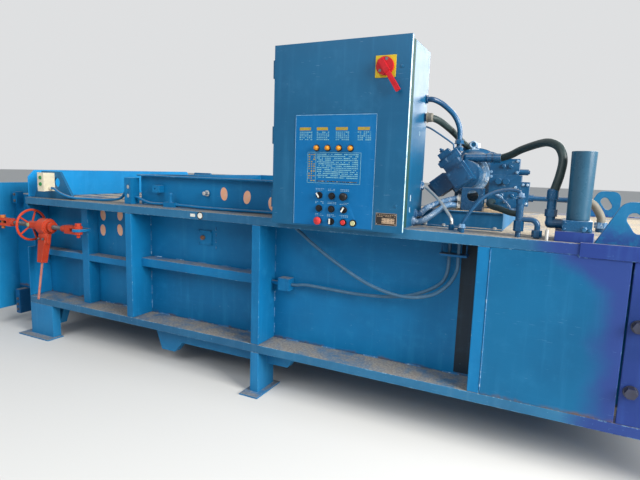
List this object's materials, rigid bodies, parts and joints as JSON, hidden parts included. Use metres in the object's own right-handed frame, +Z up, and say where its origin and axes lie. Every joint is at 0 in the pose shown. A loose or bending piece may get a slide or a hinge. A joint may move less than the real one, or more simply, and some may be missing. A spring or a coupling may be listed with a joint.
{
  "type": "horizontal recycling baler",
  "caption": "Horizontal recycling baler: open hopper, hydraulic ram, side-hinged discharge door with a ratchet screw lock, control cabinet and pump unit on its deck.",
  "frame": {"origin": "on the floor under the front near foot, below the corner where the operator's end plate meets the line of the flanges", "axes": "+X along the machine from the discharge end to the rear, +Y away from the operator, +Z up"},
  "size_m": [5.086, 1.994, 1.945],
  "materials": {
    "blue_paint": "satin",
    "dark_blue_paint": "satin",
    "overspray_paint": "matt",
    "unit_blue_paint": "satin",
    "bolt_black": "satin",
    "lock_red_paint": "satin",
    "pin_orange_paint": "satin",
    "rod_primer": "matt",
    "worn_ram_steel": "worn",
    "shoe_steel": "worn",
    "chromed_steel": "polished",
    "zinc_steel": "satin",
    "panel_print": "satin",
    "white_plate": "satin",
    "switch_red": "gloss",
    "lamp_plastic": "gloss",
    "operator_black": "matt",
    "button_red": "gloss",
    "button_cream": "matt",
    "button_green": "matt",
    "beige_case": "matt",
    "hose_rubber": "matt",
    "conduit_jacket": "matt",
    "cable_jacket": "matt"
  },
  "bodies": {
    "frame": {"floor_plate": "dark_blue_paint", "side_walls": "blue_paint", "deck_plates": "blue_paint", "flanges": "blue_paint", "main_ribs": "blue_paint", "wall_stiffeners": "blue_paint", "end_plates": "blue_paint", "undercarriage": "dark_blue_paint", "hopper_walls": "blue_paint", "header_plate": "blue_paint", "lifting_lugs": "blue_paint", "tank_panels": "dark_blue_paint", "rear_frame": "overspray_paint", "frame_bolts": "bolt_black", "wall_boxes": "blue_paint", "door_hinge_pins": "zinc_steel", "ram_cylinder": "blue_paint", "cylinder_clevis": "dark_blue_paint", "cabinet_box": "blue_paint", "cabinet_backplate": "white_plate", "station_box": "beige_case", "pump_skid": "dark_blue_paint", "pump_motor": "unit_blue_paint", "bell_housing": "unit_blue_paint", "pump_body": "unit_blue_paint", "valve_manifold": "unit_blue_paint", "filter_canister": "unit_blue_paint", "filter_head": "unit_blue_paint", "hydraulic_fittings": "unit_blue_paint", "hoses": "hose_rubber", "conduits": "conduit_jacket", "panel_cables": "cable_jacket"},
    "discharge_door": {"door_panel": "blue_paint", "door_frame": "blue_paint"},
    "door_lock": {"anchor_yoke": "lock_red_paint"},
    "lock_barrel": {"lock_barrel": "lock_red_paint", "handwheel": "lock_red_paint"},
    "door_yoke": {"door_yoke": "lock_red_paint", "door_yoke_pin": "pin_orange_paint"},
    "ratchet_lever": {"ratchet_lever": "lock_red_paint", "lever_rod": "rod_primer"},
    "ram": {"platen": "worn_ram_steel", "platen_shoes": "shoe_steel", "piston_rod": "chromed_steel"},
    "cabinet_door": {"cabinet_door": "blue_paint", "door_plates": "panel_print", "pilot_lights": "lamp_plastic"},
    "disconnect_handle": {"disconnect_handle": "switch_red"},
    "selector_upper": {"selector_upper": "operator_black"},
    "selector_middle": {"selector_middle": "operator_black"},
    "selector_lower": {"selector_lower": "operator_black"},
    "button_upper": {"button_upper": "operator_black"},
    "mushroom_upper": {"mushroom_upper": "operator_black"},
    "button_left": {"button_left": "operator_black"},
    "button_middle": {"button_middle": "operator_black"},
    "stop_mushroom": {"stop_mushroom": "button_red"},
    "red_button": {"red_button": "button_red"},
    "cream_button": {"cream_button": "button_cream"},
    "station_button_upper": {"station_button_upper": "button_green"},
    "station_button_lower": {"station_button_lower": "button_green"}
  },
  "joints": [
    {"name": "discharge_door_hinge", "type": "hinge", "parent": "frame", "child": "discharge_door", "pos_m": [-0.431, 1.709, 0.635], "axis": [0, 0, -1], "range_deg": [0, 120]},
    {"name": "lock_swing", "type": "hinge", "parent": "frame", "child": "door_lock", "pos_m": [0.555, 0.01, 0.845], "axis": [0, 0, 1], "range_deg": [0, 100]},
    {"name": "lock_barrel_turn", "type": "hinge", "parent": "door_lock", "child": "lock_barrel", "pos_m": [0.175, 0.01, 0.845], "axis": [1, 0, 0], "range_deg": [-1200, 2400]},
    {"name": "door_yoke_draw", "type": "slide", "parent": "door_lock", "child": "door_yoke", "axis": [1, 0, 0], "range_m": [-0.0205, 0.0405]},
    {"name": "ratchet_lever_turn", "type": "hinge", "parent": "door_lock", "child": "ratchet_lever", "pos_m": [0.208, 0.01, 0.845], "axis": [-1, 0, 0], "range_deg": [-15, 140]},
    {"name": "ram_stroke", "type": "slide", "parent": "frame", "child": "ram", "axis": [-1, 0, 0], "range_m": [0, 1.2]},
    {"name": "cabinet_door_hinge", "type": "hinge", "parent": "frame", "child": "cabinet_door", "pos_m": [2.1707, -0.03, 1.495], "axis": [0, 0, -1], "range_deg": [0, 120]},
    {"name": "disconnect_turn", "type": "hinge", "parent": "cabinet_door", "child": "disconnect_handle", "pos_m": [2.784, -0.06, 1.807], "axis": [0, -1, 0], "range_deg": [0, 90]},
    {"name": "selector_upper_turn", "type": "hinge", "parent": "cabinet_door", "child": "selector_upper", "pos_m": [2.463, -0.06, 1.192], "axis": [0, 1, 0], "range_deg": [-45, 45]},
    {"name": "selector_middle_turn", "type": "hinge", "parent": "cabinet_door", "child": "selector_middle", "pos_m": [2.601, -0.06, 1.126], "axis": [0, 1, 0], "range_deg": [-45, 45]},
    {"name": "selector_lower_turn", "type": "hinge", "parent": "cabinet_door", "child": "selector_lower", "pos_m": [2.533, -0.06, 1.063], "axis": [0, 1, 0], "range_deg": [-45, 45]},
    {"name": "button_upper_press", "type": "slide", "parent": "cabinet_door", "child": "button_upper", "axis": [0, 1, 0], "range_m": [0, 0.004], "stiffness_N_per_m": 800, "springref_m": -0.002},
    {"name": "mushroom_upper_press", "type": "slide", "parent": "cabinet_door", "child": "mushroom_upper", "axis": [0, 1, 0], "range_m": [0, 0.004], "stiffness_N_per_m": 800, "springref_m": -0.002},
    {"name": "button_left_press", "type": "slide", "parent": "cabinet_door", "child": "button_left", "axis": [0, 1, 0], "range_m": [0, 0.004], "stiffness_N_per_m": 800, "springref_m": -0.002},
    {"name": "button_middle_press", "type": "slide", "parent": "cabinet_door", "child": "button_middle", "axis": [0, 1, 0], "range_m": [0, 0.004], "stiffness_N_per_m": 800, "springref_m": -0.002},
    {"name": "stop_mushroom_press", "type": "slide", "parent": "cabinet_door", "child": "stop_mushroom", "axis": [0, 1, 0], "range_m": [0, 0.004], "stiffness_N_per_m": 800, "springref_m": -0.002},
    {"name": "red_button_press", "type": "slide", "parent": "cabinet_door", "child": "red_button", "axis": [0, 1, 0], "range_m": [0, 0.004], "stiffness_N_per_m": 800, "springref_m": -0.002},
    {"name": "cream_button_press", "type": "slide", "parent": "cabinet_door", "child": "cream_button", "axis": [0, 1, 0], "range_m": [0, 0.004], "stiffness_N_per_m": 800, "springref_m": -0.002},
    {"name": "station_button_upper_press", "type": "slide", "parent": "frame", "child": "station_button_upper", "axis": [0, 1, 0], "range_m": [0, 0.004], "stiffness_N_per_m": 800, "springref_m": -0.002},
    {"name": "station_button_lower_press", "type": "slide", "parent": "frame", "child": "station_button_lower", "axis": [0, 1, 0], "range_m": [0, 0.004], "stiffness_N_per_m": 800, "springref_m": -0.002}
  ],
  "couplings": [
    {"joint": "door_yoke_draw", "follows": "lock_barrel_turn", "m_per_rad": 0.0009549}
  ]
}
